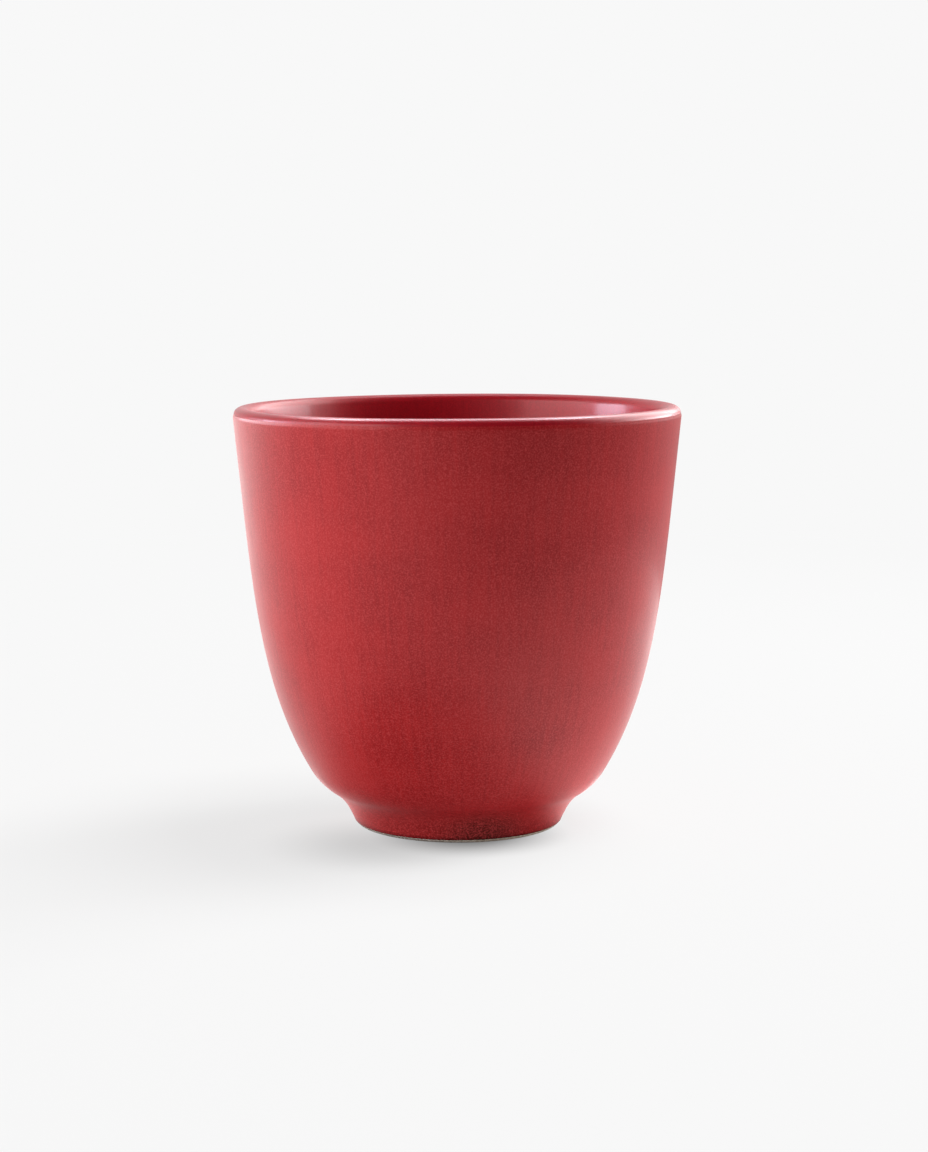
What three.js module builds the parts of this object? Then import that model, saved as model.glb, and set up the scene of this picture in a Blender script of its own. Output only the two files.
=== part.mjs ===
// A tasting cup: a small handleless drinking cup of glazed stoneware on a turned foot ring.
// Lengths are in millimetres, angles in degrees, +Z is up.
// The origin is the centre of the circle that the foot ring stands on.
import * as THREE from 'three';

// The finished cup, measured over its glaze
const rimDiameter = 70;
const height = 66.3;

// Foot ring, cut in one with the clay of the cup
const footRadius = 15.55; // outer edge of the flat ring that touches the table
const footFlat = 2.6; // width of that flat ring
const footEdge = 0.8; // round on both edges of the flat ring
const flankLength = 1.1; // straight outer flank above the edge
const flankLean = 19; // outward lean of the flank from upright
const recessDepth = 2.6; // hollow under the floor, inside the ring
const recessDraft = 20; // lean of the hollow's side from upright
const recessFillet = 1.2; // round between the hollow's side and its roof

// Outside of the clay from the foot to the lip
const coveRadius = 8.2; // hollow curve where the foot flares into the body
const coveSlope = 32.5; // climb of the surface, from level, at the top of the cove
const kneeRadius = 9.7; // round knee where the flare turns up into the belly
const kneeSlope = 59.5; // climb of the surface at the top of the knee
const bellyPull = 0.3; // how far the belly keeps the knee's direction, as a share of its chord
const shoulderPull = 0.425; // how far it takes up the wall's direction
const wallLean = 5.7; // outward lean of the upper wall from upright
const straightWall = 14; // straight stretch of wall below the lip

// Inside of the clay
const lipThickness = 2.2; // full round lip
const wallThickness = 3.2;
const lipTaper = 26; // length of wall over which the lip thickens to the wall
const floorThickness = 4.4; // over the roof of the recess
const bowlPull = 0.6; // softness of the turn from wall to floor, 1 being the sharpest

// Coats of glaze
const glazeThickness = 0.3;
const glazeEdge = 0.12; // where a coat thins out beside the bare foot
const glazeRamp = 2.2; // distance from that edge to the full thickness
const lapAngle = 20; // climb round the lip's outer side to the seam of the inner and outer coats

// Fineness of the facets
const turnSteps = 40;
const edgeSteps = 2;
const filletSteps = 2;
const coveSteps = 4;
const kneeSteps = 3;
const bodySteps = 10;
const lapSteps = 1;
const lipSteps = 6;
const bowlSteps = 8;

const radians = THREE.MathUtils.degToRad;
const last = (points) => points[points.length - 1];
const shares = (steps) => Array.from({ length: steps + 1 }, (_, step) => step / steps);

// The point reached from another by going a length at a climb from level
function ahead(point, climb, length) {
  return new THREE.Vector2(Math.cos(climb), Math.sin(climb)).multiplyScalar(length).add(point);
}

// Points of an arc that leaves a point at one climb and ends at another, without its first point.
// A growing climb turns left and a falling one turns right.
function arcFrom(start, fromClimb, toClimb, radius, steps) {
  const toCentre = Math.sign(toClimb - fromClimb) * Math.PI / 2;
  const centre = ahead(start, fromClimb + toCentre, radius);
  return shares(steps).slice(1).map((share) =>
    ahead(centre, THREE.MathUtils.lerp(fromClimb, toClimb, share) - toCentre, radius),
  );
}

// Recess under the floor, from the axis out to the flat ring
function recessOutline() {
  const sideClimb = radians(recessDraft - 90);
  const flatInside = new THREE.Vector2(footRadius - footFlat, 0);
  const edge = arcFrom(flatInside, Math.PI, sideClimb + Math.PI, footEdge, edgeSteps).reverse();
  const middle = new THREE.Vector2(0, recessDepth);
  const round = arcFrom(middle, 0, sideClimb, recessFillet, filletSteps);
  const sideRun = (last(round).y - edge[0].y) * Math.tan(radians(recessDraft));
  const roofRadius = edge[0].x - sideRun - last(round).x;
  const roofEdge = new THREE.Vector2(roofRadius, recessDepth);
  round.forEach((point) => (point.x += roofRadius));
  return { glazed: [middle, roofEdge, ...round, edge[0]], bare: [...edge.slice(1), flatInside] };
}

// Outside of the foot ring, the cove above it and the knee
function footOutline() {
  const flankClimb = radians(90 - flankLean);
  const flatOutside = new THREE.Vector2(footRadius, 0);
  const edge = arcFrom(flatOutside, 0, flankClimb, footEdge, edgeSteps);
  const flankTop = ahead(last(edge), flankClimb, flankLength);
  const cove = arcFrom(flankTop, flankClimb, radians(coveSlope), coveRadius, coveSteps);
  const knee = arcFrom(last(cove), radians(coveSlope), radians(kneeSlope), kneeRadius, kneeSteps);
  return { bare: [flatOutside, ...edge.slice(0, -1)], glazed: [last(edge), flankTop, ...cove, ...knee] };
}

// Outside of the body: a full belly that runs into the straight upper wall
function bodyCurve(start, end) {
  const wallStart = ahead(end, wallClimb, -straightWall);
  const chord = start.distanceTo(wallStart);
  const belly = new THREE.CubicBezierCurve(
    start,
    ahead(start, radians(kneeSlope), bellyPull * chord),
    ahead(wallStart, wallClimb, -shoulderPull * chord),
    wallStart,
  );
  const curve = new THREE.CurvePath();
  curve.add(belly);
  curve.add(new THREE.LineCurve(wallStart, end));
  return curve;
}

// Inside of the wall, square to the outside, from the lip down: it thickens below the lip
function innerWall(curve) {
  return shares(bodySteps).reverse().map((share) => {
    const belowLip = (1 - share) * curve.getLength();
    const thickened = THREE.MathUtils.smoothstep(belowLip, 0, lipTaper);
    const tangent = curve.getTangent(share);
    const inwards = new THREE.Vector2(-tangent.y, tangent.x);
    const thickness = THREE.MathUtils.lerp(lipThickness, wallThickness, thickened);
    return inwards.multiplyScalar(thickness).add(curve.getPoint(share));
  });
}

// Bowl from the foot of the inner wall to the middle of the floor
function bowlCurve(start) {
  const floor = recessDepth + floorThickness;
  const corner = new THREE.Vector2(start.x - (start.y - floor) / Math.tan(radians(kneeSlope)), floor);
  const middle = new THREE.Vector2(0, floor);
  return new THREE.CubicBezierCurve(
    start,
    start.clone().lerp(corner, bowlPull),
    middle.clone().lerp(corner, bowlPull),
    middle,
  );
}

// Lip of the clay: a half circle from the outer wall over the crest to the inner wall
const wallClimb = radians(90 - wallLean);
const lipRadius = lipThickness / 2;
const lipInset = glazeThickness + lipRadius;
const lipCentre = new THREE.Vector2(rimDiameter / 2 - lipInset, height - lipInset);
const lipStart = ahead(lipCentre, wallClimb - Math.PI / 2, lipRadius);
const lapClimb = wallClimb + radians(lapAngle);
const lipToLap = arcFrom(lipStart, wallClimb, lapClimb, lipRadius, lapSteps);
const lipOverCrest = arcFrom(last(lipToLap), lapClimb, wallClimb + Math.PI, lipRadius, lipSteps);

// Outline of the clay, from the middle of the recess round to the middle of the bowl
const recess = recessOutline();
const foot = footOutline();
const body = bodyCurve(last(foot.glazed), lipStart);
const bodyOutside = shares(bodySteps).map((share) => body.getPoint(share));
const bodyInside = innerWall(body);
const bowl = bowlCurve(last(bodyInside)).getPoints(bowlSteps);
const outside = [...foot.glazed, ...bodyOutside.slice(1), ...lipToLap];
const inside = [...lipOverCrest, ...bodyInside.slice(1), ...bowl.slice(1)];
const clayOutline = [...recess.glazed, ...recess.bare, ...foot.bare, ...outside, ...inside];

// Direction out of the clay at each point, across its neighbours. Both ends lie on the axis, where
// the neighbour is mirrored.
const clayNormals = clayOutline.map((point, i) => {
  const before = clayOutline[i - 1] ?? new THREE.Vector2(-clayOutline[1].x, clayOutline[1].y);
  const after = clayOutline[i + 1] ?? new THREE.Vector2(-before.x, before.y);
  const along = after.clone().sub(before).normalize();
  return new THREE.Vector2(along.y, -along.x);
});

// Surface of a coat of glaze on a stretch of the clay, with the coat's depth at each point
function coatSurface(stretch, depths) {
  const first = clayOutline.indexOf(stretch[0]);
  return stretch.map((point, i) => point.clone().addScaledVector(clayNormals[first + i], depths[i]));
}

// Depths of a coat that is thin at one point of its stretch and full a little way off
function depthsFrom(thinEnd, stretch) {
  return stretch.map((point) => {
    const filled = THREE.MathUtils.smoothstep(point.distanceTo(thinEnd), 0, glazeRamp);
    return THREE.MathUtils.lerp(glazeEdge, glazeThickness, filled);
  });
}

function revolve(name, outline, finish) {
  const geometry = new THREE.LatheGeometry(outline, turnSteps).rotateX(Math.PI / 2);
  const mesh = new THREE.Mesh(geometry, new THREE.MeshStandardMaterial(finish));
  mesh.name = name;
  return mesh;
}

// Wall, floor and foot ring are one piece of fired clay, bare only on the foot ring
function clayBody() {
  return revolve('clay_body', clayOutline, { color: '#b0917b', roughness: 0.85, metalness: 0 });
}

// The outer coat runs from the edge of the foot up to the seam on the lip
function outerGlaze() {
  const surface = coatSurface(outside, depthsFrom(outside[0], outside));
  const outline = [...surface, ...outside.toReversed(), surface[0]];
  return revolve('outer_glaze', outline, { color: '#a8363b', roughness: 0.42, metalness: 0 });
}

// The inner coat starts at the seam, rolls over the crest and lines the cup
function innerGlaze() {
  const stretch = [last(outside), ...inside];
  const surface = coatSurface(stretch, stretch.map(() => glazeThickness));
  const outline = [...stretch.toReversed(), ...surface];
  return revolve('inner_glaze', outline, { color: '#9c2c36', roughness: 0.36, metalness: 0 });
}

// The base coat covers the recess and thins out towards the bare foot
function baseGlaze() {
  const surface = coatSurface(recess.glazed, depthsFrom(last(recess.glazed), recess.glazed));
  const outline = [...surface, ...recess.glazed.toReversed()];
  return revolve('base_glaze', outline, { color: '#a23339', roughness: 0.45, metalness: 0 });
}

const cup = new THREE.Group();
cup.add(clayBody(), outerGlaze(), innerGlaze(), baseGlaze());

export default cup;
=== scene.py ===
import math

import bpy
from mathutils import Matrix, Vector, geometry


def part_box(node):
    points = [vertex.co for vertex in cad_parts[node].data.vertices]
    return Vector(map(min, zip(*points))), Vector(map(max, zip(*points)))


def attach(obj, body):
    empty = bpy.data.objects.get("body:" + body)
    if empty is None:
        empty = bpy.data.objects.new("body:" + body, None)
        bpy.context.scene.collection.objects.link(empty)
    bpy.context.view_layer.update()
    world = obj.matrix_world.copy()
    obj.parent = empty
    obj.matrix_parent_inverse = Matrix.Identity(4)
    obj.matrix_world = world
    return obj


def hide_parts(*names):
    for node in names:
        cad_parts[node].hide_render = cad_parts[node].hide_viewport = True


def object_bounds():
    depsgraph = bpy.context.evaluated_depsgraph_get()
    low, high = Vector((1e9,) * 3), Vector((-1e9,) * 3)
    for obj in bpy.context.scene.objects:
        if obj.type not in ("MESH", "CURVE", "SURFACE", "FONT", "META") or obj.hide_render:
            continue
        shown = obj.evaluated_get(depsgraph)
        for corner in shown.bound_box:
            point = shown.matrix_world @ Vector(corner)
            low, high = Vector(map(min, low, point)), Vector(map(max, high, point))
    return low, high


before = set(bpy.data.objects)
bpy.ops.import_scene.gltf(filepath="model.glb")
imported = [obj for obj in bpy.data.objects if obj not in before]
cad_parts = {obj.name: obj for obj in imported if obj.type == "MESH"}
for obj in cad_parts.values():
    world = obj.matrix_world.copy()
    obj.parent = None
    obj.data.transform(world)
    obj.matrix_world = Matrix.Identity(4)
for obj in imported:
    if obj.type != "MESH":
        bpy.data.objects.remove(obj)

cadLow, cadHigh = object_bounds()  # the CAD box, before any piece is replaced
mm = 0.001
print("frame loaded:", ", ".join(sorted(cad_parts)))


# Small helpers used all over

def towards(azimuth, elevation, distance):  # azimuth 0 is the camera's side, 90 the right
    a, e = math.radians(azimuth), math.radians(elevation)
    return Vector((math.sin(a) * math.cos(e), -math.cos(a) * math.cos(e), math.sin(e))) * distance


def hexColour(code):  # sRGB hex to the linear colour that Blender's sockets take
    parts = [int(code[i:i + 2], 16) / 255 for i in (1, 3, 5)]
    return (*[p / 12.92 if p <= 0.04045 else ((p + 0.055) / 1.055) ** 2.4 for p in parts], 1.0)


def perSize(sizeMm):  # texture scale that gives features of this size
    return 1 / (sizeMm * mm)


def addNode(tree, kind, inputs=None, **settings):  # one node with its settings, values and links
    node = tree.nodes.new("ShaderNode" + kind)
    for name, value in settings.items():
        setattr(node, name, value)
    for name, value in (inputs or {}).items():
        if isinstance(value, bpy.types.NodeSocket):
            tree.links.new(value, node.inputs[name])
        else:
            node.inputs[name].default_value = value
    return node


def emptyMaterial(name):
    material = bpy.data.materials.new(name)
    material.use_nodes = True
    material.node_tree.nodes.clear()
    return material, material.node_tree


# Camera, from the photograph's perspective

cameraPlace = dict(lens=76.6, right=0.94, back=383.7, up=88.67, pitch=7.337)  # mm and degrees

bpy.ops.object.select_all(action="DESELECT")
bpy.ops.object.camera_add(
    location=(cameraPlace["right"] * mm, -cameraPlace["back"] * mm, cameraPlace["up"] * mm),
    rotation=(math.radians(90 - cameraPlace["pitch"]), 0, 0))
camera = bpy.context.object
camera.data.lens = cameraPlace["lens"]
bpy.context.scene.camera = camera
bpy.context.scene.view_settings.view_transform = "Standard"
print("camera placed")


# Studio: white sweep, soft boxes, and a round white table in a dark room that the glaze reflects

studio = dict(backdrop="#f8f8f8", ambient="#848484", paper="#454545", paperGlow="#e5e5e5", discSides=96,
              floorRadius=2500, floorDrop=0.02,  # mm, just under the foot, so that no two faces coincide
              fadeFrom=140, fadeTo=420)  # the lit floor runs into the backdrop between these, mm
contactShades = (  # where the foot meets the table, and on the side away from the lamps
    dict(at=(2, -10), start=2, end=16.6, level=0.2),
    dict(at=(-11, -16), start=0, end=22, level=0.74))
# Each lamp gives the cup plain body light or only sheen, and lights the whole cup or one piece of it. Lamps
# in one direction stand at slightly different distances, because lamps that coincide lose light
cupLamps = dict(  # place in degrees and mm, brightness as a share of white
    leftWall=dict(gives="body", lights="cup", azimuth=-54, elevation=18, distance=800,
                  width=850, height=420, brightness=2.5, tint="#fffafa"),
    leftHigh=dict(gives="body", lights="cup", azimuth=-90, elevation=34, distance=800,
                  width=420, height=300, brightness=7.7, tint="#fffafa"),
    rightKey=dict(gives="body", lights="cup", azimuth=127, elevation=32, distance=800,
                  width=960, height=580, brightness=5.6, tint="#fffafa"),
    footGlow=dict(gives="body", lights="clay", azimuth=62, elevation=5, distance=800,
                  width=520, height=140, brightness=8, tint="#fff0dc"),
    leftPanel=dict(gives="sheen", lights="cup", azimuth=-54, elevation=18, distance=780,
                   width=850, height=420, brightness=1.3, tint="#fffafa"),
    leftWindow=dict(gives="sheen", lights="wall", azimuth=-118, elevation=24, distance=800,
                    width=760, height=560, brightness=3.8, tint="#f4f6ff"),
    rightPanel=dict(gives="sheen", lights="cup", azimuth=118, elevation=8, distance=800,
                    width=620, height=200, brightness=0.6, tint="#fafaff"),
    bowlLeft=dict(gives="sheen", lights="bowl", azimuth=-54, elevation=18, distance=820,
                  width=850, height=420, brightness=1.7, tint="#fffafa"),
    bowlLeftPane=dict(gives="sheen", lights="bowl", azimuth=-102, elevation=9, distance=800,
                      width=360, height=200, brightness=17, tint="#eaeaff"),
    bowlRightPane=dict(gives="sheen", lights="bowl", azimuth=118, elevation=8, distance=820,
                       width=620, height=200, brightness=7.5, tint="#fafaff"),
    bowlRight=dict(gives="sheen", lights="bowl", azimuth=127, elevation=32, distance=820,
                   width=960, height=580, brightness=3.9, tint="#fffafa"),
    bowlTop=dict(gives="sheen", lights="bowl", azimuth=180, elevation=68, distance=800,
                 width=420, height=280, brightness=2.5, tint="#f0f3ff"))
panelTilts = dict(up=180, camera=-90)  # degrees, for a panel that faces up or towards the camera's side
lipPanels = dict(  # small panels over the bowl that the near lip mirrors: middle and size in mm, brightness
    lipLeft=dict(at=(-48, 25, 151), width=24, length=50, brightness=23, tint="#f8f4ff"),
    lipRight=dict(at=(48, 25, 151), width=24, length=50, brightness=14, tint="#f8f4ff"),
    lipMiddle=dict(at=(0, 5, 112), width=80, length=24, brightness=6.4, tint="#f4f2ff"))
tableTop = dict(middle=(44, 45), radius=165, above=0.2, tint="#fff9f8",  # mm, and brightness across it
                front=0.35, frontAt=-140, back=1.5, backAt=150, left=1.1, leftAt=-70, right=1.3, rightAt=100,
                spots=(dict(at=(-14, -36), start=12, end=52, level=0.0),  # the cup's own shadow
                       dict(at=(6, -14), start=6, end=22, level=0.0),
                       dict(at=(24, 14), start=2, end=9, level=2.2),  # light that gathers by the foot
                       dict(at=(-24, 15), start=2, end=9, level=1.8)))
roomFloor = dict(middle=(0, 0), radius=2400, above=0.1, tint="#fff9f8", spots=(),
                 front=0.7, frontAt=-300, back=1.7, backAt=300, left=1.0, leftAt=-120, right=0.3, rightAt=60)
bounces = dict(  # what the table throws up at the cup: middle and size in mm, brightness
    bounceAll=dict(at=(60, -10, 0.6), width=440, length=440, brightness=0.5, tint="#fffaf4"),
    bounceRight=dict(at=(50, -10, 0.9), width=60, length=110, brightness=0.62, tint="#fffaf4"),
    bounceSide=dict(at=(33, -19, 1.2), width=26, length=26, brightness=0.21, tint="#fffaf4"),
    bounceFront=dict(at=(19, -33, 1.5), width=26, length=26, brightness=0.12, tint="#fffaf4"),
    footRight=dict(at=(20, -5, 0.3), width=4, length=20, brightness=3.6, tint="#fffaf4"),
    footLeft=dict(at=(-20, -4, 0.3), width=4, length=20, brightness=2.6, tint="#fffaf4"))
room = dict(width=4800, wallAt=-620, wallHeight=1400, ceilingAt=1100, ceilingBack=300, wallColour="#141414")
floorBoxes = dict(  # these light the floor alone, and give it the cup's shadow
    shadowKey=dict(azimuth=110, elevation=70, distance=2000, width=1000, height=1000,
                   brightness=19.5, tint="#ffffff"),
    lowKey=dict(azimuth=120, elevation=16, distance=2000, width=850, height=850,
                brightness=39, tint="#ffffff"))


def seenRays(tree):  # 1 for the rays that show the backdrop, 0 for those that carry light to the cup
    path = addNode(tree, "LightPath").outputs
    seen = addNode(tree, "Math", {0: path["Is Camera Ray"], 1: path["Is Glossy Ray"]}, operation="MAXIMUM")
    seen = addNode(tree, "Math", {0: seen.outputs[0], 1: path["Is Transmission Ray"]}, operation="MAXIMUM")
    return seen.outputs[0]


def addWorld():
    world = bpy.data.worlds.new("whiteSweep")
    bpy.context.scene.world = world
    world.use_nodes = True
    tree = world.node_tree
    tree.nodes.clear()
    light = addNode(tree, "Background", {"Color": hexColour(studio["ambient"])})
    backdrop = addNode(tree, "Background", {"Color": hexColour(studio["backdrop"])})
    either = addNode(tree, "MixShader", {0: seenRays(tree), 1: light.outputs[0], 2: backdrop.outputs[0]})
    addNode(tree, "OutputWorld", {"Surface": either.outputs[0]})


def softSpot(tree, place, spot):  # its own level in its middle, running out to 1
    middle = (*[value * mm for value in spot["at"]], 0)
    away = addNode(tree, "VectorMath", {0: place, 1: middle}, operation="DISTANCE").outputs["Value"]
    return addNode(tree, "MapRange", {
        "Value": away, "From Min": spot["start"] * mm, "From Max": spot["end"] * mm, "To Min": spot["level"],
    }, interpolation_type="SMOOTHSTEP").outputs[0]


def sweepPaper():  # matt white paper that keeps the shadow near the cup and fades into the backdrop
    material, tree = emptyMaterial("matt_white_sweep_paper")
    place, seen = addNode(tree, "TexCoord").outputs["Object"], seenRays(tree)
    away = addNode(tree, "VectorMath", {0: place}, operation="LENGTH").outputs["Value"]
    faded = addNode(tree, "MapRange", {
        "Value": away, "From Min": studio["fadeFrom"] * mm, "From Max": studio["fadeTo"] * mm,
    }, interpolation_type="SMOOTHSTEP").outputs[0]
    paper = addNode(tree, "BsdfDiffuse", {"Color": hexColour(studio["paper"])})
    strength = seen
    for spot in contactShades:
        shade = softSpot(tree, place, spot)
        strength = addNode(tree, "Math", {0: strength, 1: shade}, operation="MULTIPLY").outputs[0]
    glow = addNode(tree, "Emission", {"Color": hexColour(studio["paperGlow"]), "Strength": strength})
    lit = addNode(tree, "AddShader", {0: paper.outputs[0], 1: glow.outputs[0]})
    backdrop = addNode(tree, "Emission", {"Color": hexColour(studio["backdrop"])})
    share = addNode(tree, "Math", {0: faded, 1: seen}, operation="MULTIPLY").outputs[0]
    either = addNode(tree, "MixShader", {0: share, 1: lit.outputs[0], 2: backdrop.outputs[0]})
    addNode(tree, "OutputMaterial", {"Surface": either.outputs[0]})
    return material


def addFloor():
    bpy.ops.mesh.primitive_circle_add(vertices=studio["discSides"], radius=studio["floorRadius"] * mm,
                                      fill_type="NGON", location=(0, 0, -studio["floorDrop"] * mm))
    floor = bpy.context.object
    floor.name = "sweep_floor"
    floor.data.materials.append(sweepPaper())
    return floor


def reflectedGlow(name, light):  # what the glaze mirrors of a flat white top, with the light and shade on it
    material, tree = emptyMaterial(name)
    place = addNode(tree, "TexCoord").outputs["Object"]
    along = addNode(tree, "SeparateXYZ", {0: place}).outputs
    factors = [softSpot(tree, place, spot) for spot in light["spots"]]
    for axis, near, far in (("Y", "front", "back"), ("X", "left", "right")):
        factors.append(addNode(tree, "MapRange", {
            "Value": along[axis], "From Min": light[near + "At"] * mm, "From Max": light[far + "At"] * mm,
            "To Min": light[near], "To Max": light[far]}).outputs[0])
    strength = factors[0]
    for factor in factors[1:]:
        strength = addNode(tree, "Math", {0: strength, 1: factor}, operation="MULTIPLY").outputs[0]
    glow = addNode(tree, "Emission", {"Color": hexColour(light["tint"]), "Strength": strength})
    addNode(tree, "OutputMaterial", {"Surface": glow.outputs[0]})
    return material


def darkRoom():  # matt near-black, which leaves the glaze its own colour where it mirrors the room
    material, tree = emptyMaterial("dark_room_in_reflections")
    shade = addNode(tree, "BsdfDiffuse", {"Color": hexColour(room["wallColour"])})
    addNode(tree, "OutputMaterial", {"Surface": shade.outputs[0]})
    return material


def onlyReflected(thing, name, material):  # shows in reflections alone, and blocks no light
    thing.name = name
    thing.data.materials.append(material)
    thing.visible_camera = thing.visible_diffuse = thing.visible_shadow = thing.visible_transmission = False


def addReflectedDisc(name, light):
    bpy.ops.object.select_all(action="DESELECT")
    bpy.ops.mesh.primitive_circle_add(vertices=studio["discSides"], radius=light["radius"] * mm,
                                      fill_type="NGON",
                                      location=Vector((*light["middle"], light["above"])) * mm)
    bpy.ops.object.transform_apply(location=True, rotation=False, scale=False)
    onlyReflected(bpy.context.object, name, reflectedGlow(name + "_in_reflections", light))


def addDarkRoom():  # the unlit wall behind the camera, and the ceiling
    wide, finish = room["width"] * mm, darkRoom()
    middle = (room["wallAt"] + room["ceilingBack"]) / 2
    planes = dict(
        dark_front=((0, room["wallAt"], room["wallHeight"] / 2), room["wallHeight"], math.pi / 2),
        dark_ceiling=((0, middle, room["ceilingAt"]), room["ceilingBack"] - room["wallAt"], 0))
    for name, (place, length, tilt) in planes.items():
        bpy.ops.mesh.primitive_plane_add(size=1, location=Vector(place) * mm, rotation=(tilt, 0, 0))
        plane = bpy.context.object
        plane.scale = (wide, length * mm, 1)
        onlyReflected(plane, name, finish)


lampWatts = 4  # what a square metre of area lamp takes for brightness 1


def addLamp(name, place, turn, width, height, brightness, tint, receivers):
    bpy.ops.object.light_add(type="AREA", location=place, rotation=turn)
    lamp = bpy.context.object
    lamp.name = name
    lamp.data.shape = "RECTANGLE"
    lamp.data.size, lamp.data.size_y = width * mm, height * mm
    lamp.data.energy = brightness * lampWatts * lamp.data.size * lamp.data.size_y
    lamp.data.color = hexColour(tint)[:3]
    lamp.visible_camera = False
    lamp.light_linking.receiver_collection = receivers
    return lamp


def addSoftBox(name, box, receivers):  # faces the middle of the cup
    place = towards(box["azimuth"], box["elevation"], box["distance"] * mm)
    turn = ((cadLow + cadHigh) / 2 - place).to_track_quat("-Z", "Y").to_euler()
    return addLamp(name, place, turn, box["width"], box["height"], box["brightness"], box["tint"], receivers)


def addPanel(name, panel, tilt, receivers):  # stands or lies close to the cup
    turn = (math.radians(tilt), 0, 0)
    return addLamp(name, Vector(panel["at"]) * mm, turn, panel["width"], panel["length"],
                   panel["brightness"], panel["tint"], receivers)


addWorld()
litThings = {}
for name in ("cup", "clay", "wall", "bowl", "floor"):
    litThings[name] = bpy.data.collections.new("lit_" + name)
litThings["floor"].objects.link(addFloor())
addDarkRoom()
addReflectedDisc("room_floor", roomFloor)
addReflectedDisc("table_top", tableTop)
for name, panel in bounces.items():
    addPanel(name, panel, panelTilts["up"], litThings["cup"]).visible_glossy = False
for name, panel in lipPanels.items():
    addPanel(name, panel, panelTilts["camera"], litThings["bowl"]).visible_diffuse = False
for name, box in cupLamps.items():
    lamp = addSoftBox(name, box, litThings[box["lights"]])
    lamp.visible_glossy = box["gives"] == "sheen"
    lamp.visible_diffuse = box["gives"] == "body"
for name, box in floorBoxes.items():
    addSoftBox(name, box, litThings["floor"])
print("studio set")


# Outline of the clay, as radius and height in mm, drawn from the foot up and over the lip

onTable = 0.001  # mm, how near the table a vertex of the CAD foot counts as standing on it
clayVertices = [v.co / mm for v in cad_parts["clay_body"].data.vertices]
clay = dict(
    rimRadius=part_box("outer_glaze")[1].x / mm,  # these three come from the frame
    height=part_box("inner_glaze")[1].z / mm,
    footRadius=max(v.x for v in clayVertices if v.z < onTable),
    footFlat=2.6, footEdge=0.8, flank=1.1, flankLean=19,
    recess=2.6, recessDraft=20, recessRound=1.2,
    coveRadius=8.2, coveSlope=32.5, kneeRadius=9.7, kneeSlope=59.5,
    bellyPull=0.3, shoulderPull=0.425, wallLean=5.7, straightWall=14,
    lip=2.2, wall=3.2, lipTaper=26, floor=4.4, bowlPull=0.6)
glaze = dict(depth=0.3, footDepth=0.14, footRamp=2.2, footRound=0.2,
             seamRound=0.5, seamTurn=20, seamDip=0.25)  # the dip is a share of the depth
drawnSteps = dict(recessEdge=6, recessTurn=6, recessRoof=6, footEdge=8, flank=4, cove=12, knee=10,
                  belly=32, wall=10, toSeam=4, overLip=24, bowl=30, coatEdge=6)  # straight steps along each


def onward(point, climb, length):  # the point reached by going that far at that climb from level
    return point + Vector((math.cos(climb), math.sin(climb))) * length


def bend(start, fromClimb, toClimb, radius, steps):  # arc that leaves at one climb and ends at another
    side = math.copysign(math.pi / 2, toClimb - fromClimb)
    centre = onward(start, fromClimb + side, radius)
    climbs = [fromClimb + (toClimb - fromClimb) * i / steps for i in range(1, steps + 1)]
    return [onward(centre, climb - side, radius) for climb in climbs]


def smoothShare(value, length):  # 0 to 1 over a length, easing in and out
    share = min(max(value / length, 0), 1)
    return share * share * (3 - 2 * share)


def roundEnd(value, length):  # 0 to 1 over a length, rounded off as a quarter circle
    return math.sqrt(1 - (1 - min(value / length, 1)) ** 2)


def runs(points):  # distance along an outline, at each of its points
    far = [0.0]
    for before, after in zip(points, points[1:]):
        far.append(far[-1] + (after - before).length)
    return far


def outwards(points):  # direction out of the clay at each point, across its neighbours
    around = [Vector((-points[1].x, points[1].y)), *points, Vector((-points[-2].x, points[-2].y))]
    alongs = [(after - before).normalized() for before, after in zip(around, around[2:])]
    return [Vector((a.y, -a.x)) for a in alongs]


def recessOutline():
    draft = math.radians(clay["recessDraft"] - 90)
    flatInside = Vector((clay["footRadius"] - clay["footFlat"], 0))
    edge = bend(flatInside, math.pi, draft + math.pi, clay["footEdge"], drawnSteps["recessEdge"])[::-1]
    turn = bend(Vector((0, clay["recess"])), 0, draft, clay["recessRound"], drawnSteps["recessTurn"])
    roof = edge[0].x - turn[-1].x - (turn[-1].y - edge[0].y) * math.tan(math.radians(clay["recessDraft"]))
    steps = drawnSteps["recessRoof"]
    flatRoof = [Vector((roof * i / steps, clay["recess"])) for i in range(steps + 1)]
    return flatRoof + [point + Vector((roof, 0)) for point in turn] + edge[:1], edge[1:] + [flatInside]


def footOutline():
    flankClimb, coveClimb = math.radians(90 - clay["flankLean"]), math.radians(clay["coveSlope"])
    flat = Vector((clay["footRadius"], 0))
    edge = bend(flat, 0, flankClimb, clay["footEdge"], drawnSteps["footEdge"])
    steps = drawnSteps["flank"]
    flank = [onward(edge[-1], flankClimb, clay["flank"] * i / steps) for i in range(1, steps + 1)]
    cove = bend(flank[-1], flankClimb, coveClimb, clay["coveRadius"], drawnSteps["cove"])
    knee = bend(cove[-1], coveClimb, math.radians(clay["kneeSlope"]), clay["kneeRadius"], drawnSteps["knee"])
    return [flat] + edge[:-1], edge[-1:] + flank + cove + knee


def bodyOutline(start, end):
    wallClimb = math.radians(90 - clay["wallLean"])
    wallStart = onward(end, wallClimb, -clay["straightWall"])
    chord = (wallStart - start).length
    belly = geometry.interpolate_bezier(
        start, onward(start, math.radians(clay["kneeSlope"]), clay["bellyPull"] * chord),
        onward(wallStart, wallClimb, -clay["shoulderPull"] * chord), wallStart, drawnSteps["belly"] + 1)
    steps = drawnSteps["wall"]
    return belly[1:] + [wallStart.lerp(end, i / steps) for i in range(1, steps + 1)]


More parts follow.
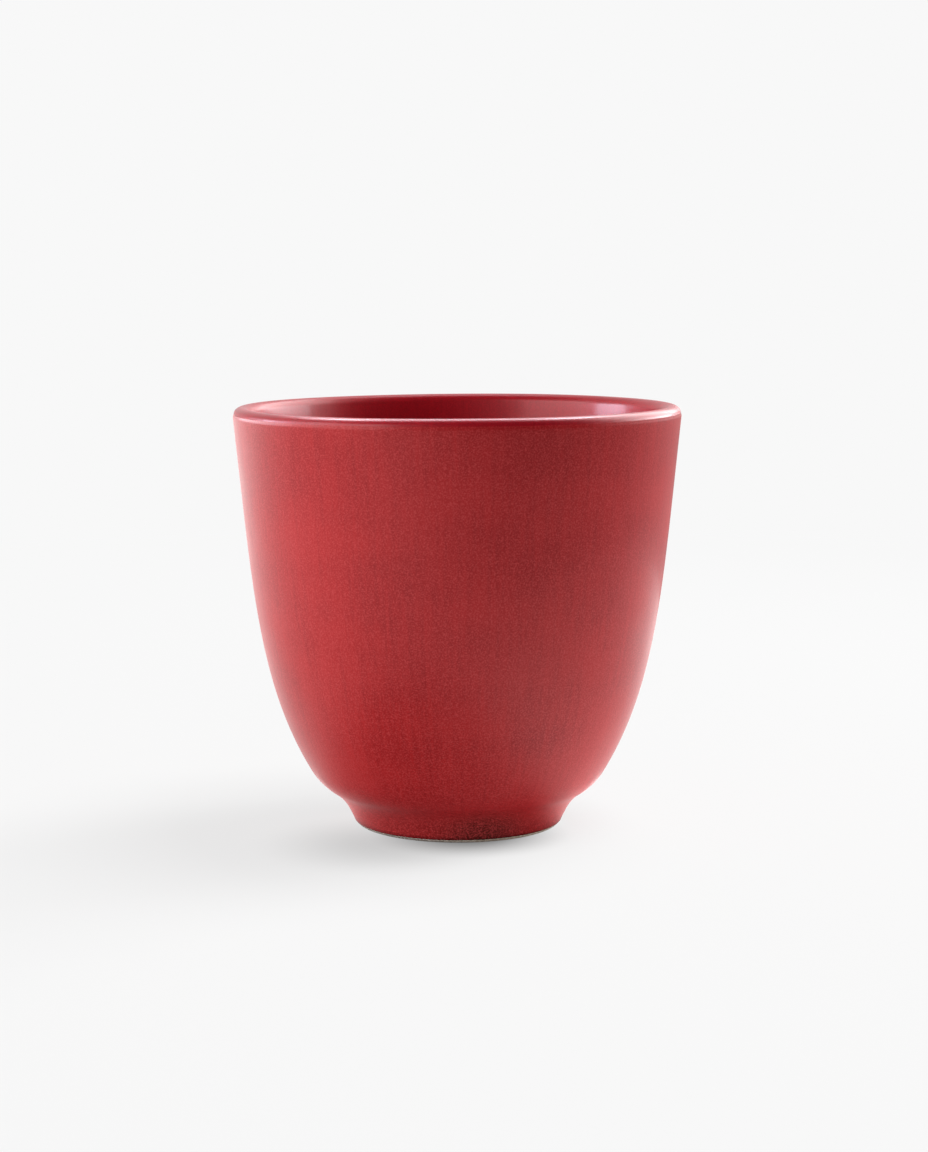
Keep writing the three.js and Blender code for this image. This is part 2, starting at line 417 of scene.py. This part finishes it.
def innerOutline(outside):  # wall thickening below the lip, then the bowl down to its middle
    fromLip, out = runs(outside[::-1]), outwards(outside)[::-1]
    thick = [clay["lip"] + (clay["wall"] - clay["lip"]) * smoothShare(s, clay["lipTaper"]) for s in fromLip]
    wall = [point - n * t for point, n, t in zip(outside[::-1], out, thick)][1:-1]
    floor = clay["recess"] + clay["floor"]
    corner = Vector((wall[-1].x - (wall[-1].y - floor) / math.tan(math.radians(clay["kneeSlope"])), floor))
    middle = Vector((0, floor))
    bowl = geometry.interpolate_bezier(wall[-1], wall[-1].lerp(corner, clay["bowlPull"]),
                                       middle.lerp(corner, clay["bowlPull"]), middle, drawnSteps["bowl"] + 1)
    return wall + bowl[1:]


def clayOutlines():
    wallClimb, half = math.radians(90 - clay["wallLean"]), clay["lip"] / 2
    inset = glaze["depth"] + half
    lipMiddle = Vector((clay["rimRadius"] - inset, clay["height"] - inset))
    lipStart = onward(lipMiddle, wallClimb - math.pi / 2, half)
    seamClimb = wallClimb + math.radians(glaze["seamTurn"])
    toSeam = bend(lipStart, wallClimb, seamClimb, half, drawnSteps["toSeam"])
    overLip = bend(toSeam[-1], seamClimb, wallClimb + math.pi, half, drawnSteps["overLip"])
    recessGlazed, recessBare = recessOutline()
    footBare, footGlazed = footOutline()
    body = bodyOutline(footGlazed[-1], lipStart)
    inside = innerOutline(footGlazed[-1:] + body)
    return recessGlazed, recessBare + footBare, footGlazed + body + toSeam, overLip + inside


recessPart, barePart, outerPart, innerPart = clayOutlines()
clayOutline = recessPart + barePart + outerPart + innerPart
clayOutwards = outwards(clayOutline)
print("clay outline drawn with", len(clayOutline), "points")


# Turning a drawn outline into a round piece

turning = dict(steps=144, smoothAngle=40, mergeWithin=0.0005)  # degrees and mm


def turnPiece(name, outline):
    bpy.ops.object.select_all(action="DESELECT")
    bpy.ops.mesh.primitive_plane_add(size=mm, location=(0, 0, 0))
    piece = bpy.context.object
    piece.name = piece.data.name = name
    bpy.ops.object.mode_set(mode="EDIT")
    bpy.ops.mesh.merge(type="CENTER")  # one vertex, drawn out along the outline
    bpy.ops.transform.translate(value=(outline[0].x * mm, 0, outline[0].y * mm))
    for corner, point in zip(outline, outline[1:]):
        step = (point - corner) * mm
        bpy.ops.mesh.extrude_region_move(TRANSFORM_OT_translate={"value": (step.x, 0, step.y)})
    bpy.ops.mesh.select_all(action="SELECT")
    bpy.ops.mesh.spin(steps=turning["steps"], angle=2 * math.pi, center=(0, 0, 0), axis=(0, 0, 1))
    bpy.ops.mesh.select_all(action="SELECT")
    bpy.ops.mesh.remove_doubles(threshold=turning["mergeWithin"] * mm)
    bpy.ops.mesh.delete_loose()  # a coat that starts on the axis leaves its closing line there
    bpy.ops.mesh.normals_make_consistent(inside=False)
    bpy.ops.object.mode_set(mode="OBJECT")
    bpy.ops.object.shade_smooth_by_angle(angle=math.radians(turning["smoothAngle"]))
    return piece


def coatOutline(first, count, depthAt, roundStart, roundFinish):
    base, out = clayOutline[first:first + count], clayOutwards[first:first + count]
    far = runs(base)
    stops = {s for s in far if roundStart < s < far[-1] - roundFinish} | {0.0, far[-1]}
    steps = drawnSteps["coatEdge"]
    for i in range(1, steps + 1):  # closer stops where an edge is rounded off
        eased = 1 - math.cos(math.pi / 2 * i / steps)
        stops |= {roundStart * eased, far[-1] - roundFinish * eased}
    surface, under = [], []
    for s in sorted(stops):
        i = max(k for k in range(count - 1) if far[k] <= s)
        share = (s - far[i]) / (far[i + 1] - far[i])
        under.append(base[i].lerp(base[i + 1], share))
        surface.append(under[-1] + out[i].lerp(out[i + 1], share).normalized() * depthAt(s, far[-1]))
    return surface + under[::-1] + surface[:1]


def seamShare(away):  # the two dips of glaze melt together at the lip with a shallow line between them
    return 1 - glaze["seamDip"] + glaze["seamDip"] * smoothShare(away, glaze["seamRound"])


def outerDepth(s, whole):  # thin beside the bare foot and rounded off there
    filled = smoothShare(s, glaze["footRamp"])
    depth = glaze["footDepth"] + (glaze["depth"] - glaze["footDepth"]) * filled
    return depth * roundEnd(s, glaze["footRound"]) * seamShare(whole - s)


def innerDepth(s, whole):  # dips at the seam, full everywhere else
    return glaze["depth"] * seamShare(s)


def baseDepth(s, whole):  # the same edge as the outer coat's, at its other end
    filled = smoothShare(whole - s, glaze["footRamp"])
    depth = glaze["footDepth"] + (glaze["depth"] - glaze["footDepth"]) * filled
    return depth * roundEnd(whole - s, glaze["footRound"])


recessCount, bareCount, outerCount = len(recessPart), len(barePart), len(outerPart)
outerFirst = recessCount + bareCount
innerFirst = outerFirst + outerCount - 1  # the inner coat starts on the seam
clayCup = turnPiece("clay_cup", clayOutline)
outerCoat = turnPiece("outer_glaze_coat", coatOutline(
    outerFirst, outerCount, outerDepth, glaze["footRound"], glaze["seamRound"]))
innerCoat = turnPiece("inner_glaze_coat", coatOutline(
    innerFirst, len(clayOutline) - innerFirst, innerDepth, glaze["seamRound"], 0))
baseCoat = turnPiece("base_glaze_coat", coatOutline(0, recessCount, baseDepth, 0, glaze["footRound"]))
cupPieces = (clayCup, outerCoat, innerCoat, baseCoat)
for piece in cupPieces:
    print(piece.name, "turned,", len(piece.data.polygons), "faces")


# The maker's hand: the rim leans and tips a little and waves very slightly, while the foot stays true

hand = dict(lean=-0.13, tip=0.2, drop=0.09, wave=0.07,  # mm at the rim
            points=5, waveTurn=2.4)  # lattice points each way, and radians from one to the next


def addHandLattice():
    bpy.ops.object.select_all(action="DESELECT")
    bpy.ops.object.add(type="LATTICE", location=(cadLow + cadHigh) / 2)
    lattice = bpy.context.object
    lattice.scale = cadHigh - cadLow
    lattice.data.points_u = lattice.data.points_v = hand["points"]
    lattice.data.points_w = 2
    lattice.data.interpolation_type_w = "KEY_LINEAR"
    for index, point in enumerate(lattice.data.points):
        if point.co.z > 0:
            side = point.co.x * 2  # -1 at the left of the cup, 1 at its right
            rise = hand["tip"] * side - hand["drop"] + hand["wave"] * math.sin(hand["waveTurn"] * index)
            point.co_deform.x += hand["lean"] * mm / lattice.scale.x
            point.co_deform.z += rise * mm / lattice.scale.z
    return lattice


handLattice = addHandLattice()
for piece in cupPieces:
    bpy.context.view_layer.objects.active = piece
    shaped = piece.modifiers.new("hand", "LATTICE")
    shaped.object = handLattice
    bpy.ops.object.modifier_apply(modifier="hand")
bpy.data.objects.remove(handLattice)
print("rim tipped by hand")


# Finishes

stoneware = dict(clay="#d9cfc6", grog="#b3a69a", grogFrom=0.35, grogTo=0.6, roughness=0.88,
                 grogSize=0.5, grainSize=0.25, grainDepth=0.02, grainStrength=0.6)  # mm, the last a share


def bareStoneware():  # fired clay with no glaze: dry, greige, with fine grit that shows as soft specks
    material, tree = emptyMaterial("bare_fired_stoneware")
    place = addNode(tree, "TexCoord").outputs["Object"]
    grog = addNode(tree, "TexNoise", {
        "Vector": place, "Scale": perSize(stoneware["grogSize"]), "Detail": 3.0})
    grain = addNode(tree, "TexNoise", {
        "Vector": place, "Scale": perSize(stoneware["grainSize"]), "Detail": 2.0})
    tone = addNode(tree, "ValToRGB", {0: grog.outputs[0]})
    dark, pale = tone.color_ramp.elements
    dark.position, pale.position = stoneware["grogFrom"], stoneware["grogTo"]
    dark.color, pale.color = hexColour(stoneware["grog"]), hexColour(stoneware["clay"])
    bump = addNode(tree, "Bump", {"Height": grain.outputs[0], "Strength": stoneware["grainStrength"],
                                  "Distance": stoneware["grainDepth"] * mm})
    shader = addNode(tree, "BsdfPrincipled", {
        "Base Color": tone.outputs[0], "Roughness": stoneware["roughness"], "Normal": bump.outputs[0]})
    addNode(tree, "OutputMaterial", {"Surface": shader.outputs[0]})
    return material


satinRed = dict(
    pooledAndShaded="#6c0908", paintedFrontShade="#5a0a06", thin="#a8444e",
    threadsWidth=0.7, threadsLength=11, bandsHeight=6, bandsSlant=0.12, cloudsSize=13, rippleSize=6,  # mm
    grainSize=0.23, gritSize=0.42,  # mm, coarser than in a real glaze, so that both show in the render
    gritDepth=0.012, rippleDepth=0.03,  # mm
    threadsShare=0.75, bandsShare=0.5, toneSpread=0.34, speckFrom=0.36, speckTo=0.76,
    # darker above the foot: the glaze gathered thick there, and painted shade near the table
    poolAndShadeFrom=1.2, poolAndShadeTo=6.5, poolAndShadeShare=0.5,  # mm above the table
    # painted shade at the front of the foot, where the cup's own shadow falls on the table
    frontShadeAt=(3.5, -16.2, 0), frontShadeFrom=1.5, frontShadeTo=9,  # mm, at the front of the foot and away from there
    thinFrom=0.9, thinTo=0.2, thinShare=0.15,  # mm below the lip's crest
    roughness=0.36, roughnessSpread=0.08, cloudsFrom=0.3, cloudsTo=0.7,
    shine=0.34, filmShine=0.12, filmRoughness=0.13)
outsideRed = dict(name="satin_red_glaze_outside", deep="#920b12", warm="#a7161a",
                  grain="#bb373a", grainShare=0.78)
insideRed = dict(name="satin_red_glaze_inside", deep="#8e0014", warm="#9e0519",
                 grain="#b50c1e", grainShare=0.6)
baseRed = dict(outsideRed, name="satin_red_glaze_base")


def satinRedGlaze(look):
    # Dipped red glaze fired to a satin: soft broad sheen under a thin glassy film, fine sandy grain, threads
    # where it ran down, faint turning bands, deeper above the foot where the glaze gathered thick and with
    # painted shade near the table, painted shade at the front of the foot, and paler on the lip
    material, tree = emptyMaterial(look["name"])
    place = addNode(tree, "TexCoord").outputs["Object"]
    height = addNode(tree, "SeparateXYZ", {0: place}).outputs["Z"]

    # Threads follow the wall: their place round the cup is drawn out along its height
    flat = addNode(tree, "VectorMath", {0: place, 1: (1, 1, 0)}, operation="MULTIPLY").outputs[0]
    around = addNode(tree, "VectorMath", {0: flat}, operation="NORMALIZE").outputs[0]
    drawOut = (0, 0, satinRed["threadsWidth"] / satinRed["threadsLength"])
    drawnOut = addNode(tree, "VectorMath", {0: place, 1: drawOut}, operation="MULTIPLY").outputs[0]
    wall = addNode(tree, "VectorMath", {0: around, 1: (clay["rimRadius"] * mm,) * 3, 2: drawnOut},
                   operation="MULTIPLY_ADD").outputs[0]
    slant = (satinRed["bandsSlant"], satinRed["bandsSlant"], 1)
    turned = addNode(tree, "VectorMath", {0: place, 1: slant}, operation="MULTIPLY").outputs[0]
    sources = dict(  # where each pattern is read, its size in mm and its detail
        clouds=(place, satinRed["cloudsSize"], 3.0), bands=(turned, satinRed["bandsHeight"], 1.0),
        threads=(wall, satinRed["threadsWidth"], 1.0), grain=(place, satinRed["grainSize"], 2.0),
        ripple=(place, satinRed["rippleSize"], 1.0), grit=(place, satinRed["gritSize"], 2.0))
    patterns = {}
    for pattern, (where, size, detail) in sources.items():
        patterns[pattern] = addNode(
            tree, "TexNoise", {"Vector": where, "Scale": perSize(size), "Detail": detail}).outputs[0]
    tone, middle = patterns["clouds"], 0.5
    for pattern in ("bands", "threads"):
        share = satinRed[pattern + "Share"]
        tone = addNode(tree, "Math", {0: patterns[pattern], 1: share, 2: tone},
                       operation="MULTIPLY_ADD").outputs[0]
        middle += share / 2
    frontShadeMiddle = tuple(value * mm for value in satinRed["frontShadeAt"])
    fromFrontShade = addNode(tree, "VectorMath", {0: place, 1: frontShadeMiddle}, operation="DISTANCE").outputs["Value"]
    crest = clay["height"]

    # Each layer: its tint, what it follows, from where to where, and its most
    layers = (
        (look["warm"], tone, middle - satinRed["toneSpread"], middle + satinRed["toneSpread"], 1.0),
        # darker above the foot: thick glaze there, and painted shade near the table
        (satinRed["pooledAndShaded"], height, satinRed["poolAndShadeTo"] * mm, satinRed["poolAndShadeFrom"] * mm,
         satinRed["poolAndShadeShare"]),
        # painted shade at the front of the foot
        (satinRed["paintedFrontShade"], fromFrontShade, satinRed["frontShadeTo"] * mm, satinRed["frontShadeFrom"] * mm, 1.0),
        (look["grain"], patterns["grain"], satinRed["speckFrom"], satinRed["speckTo"], look["grainShare"]),
        (satinRed["thin"], height, (crest - satinRed["thinFrom"]) * mm, (crest - satinRed["thinTo"]) * mm,
         satinRed["thinShare"]))
    colour = hexColour(look["deep"])
    for tint, value, start, end, most in layers:
        share = addNode(tree, "MapRange", {
            "Value": value, "From Min": start, "From Max": end, "To Max": most,
        }, interpolation_type="SMOOTHSTEP").outputs[0]
        colour = addNode(tree, "Mix", {0: share, 6: colour, 7: hexColour(tint)}, data_type="RGBA").outputs[2]

    half = satinRed["roughnessSpread"] / 2
    roughness = addNode(tree, "MapRange", {
        "Value": patterns["clouds"], "From Min": satinRed["cloudsFrom"], "From Max": satinRed["cloudsTo"],
        "To Min": satinRed["roughness"] - half, "To Max": satinRed["roughness"] + half}).outputs[0]
    ripple = addNode(tree, "Bump", {"Height": patterns["ripple"], "Distance": satinRed["rippleDepth"] * mm})
    grit = addNode(tree, "Bump", {
        "Height": patterns["grit"], "Distance": satinRed["gritDepth"] * mm, "Normal": ripple.outputs[0]})
    shader = addNode(tree, "BsdfPrincipled", {
        "Base Color": colour, "Roughness": roughness, "Specular IOR Level": satinRed["shine"],
        "Coat Weight": satinRed["filmShine"], "Coat Roughness": satinRed["filmRoughness"],
        "Normal": grit.outputs[0], "Coat Normal": ripple.outputs[0]})
    addNode(tree, "OutputMaterial", {"Surface": shader.outputs[0]})
    return material


dressing = [
    (clayCup, "clay_body", "bare_stoneware", bareStoneware(), ("cup", "clay")),
    (outerCoat, "outer_glaze", "outer_red_glaze", satinRedGlaze(outsideRed), ("cup", "wall")),
    (innerCoat, "inner_glaze", "inner_red_glaze", satinRedGlaze(insideRed), ("cup", "bowl")),
    (baseCoat, "base_glaze", "base_red_glaze", satinRedGlaze(baseRed), ("cup",))]
for piece, node, slotName, finish, litBy in dressing:
    piece.data.materials.append(finish)
    for name in litBy:
        litThings[name].objects.link(piece)
    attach(piece, "root")
    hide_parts(node)
print("pieces dressed")
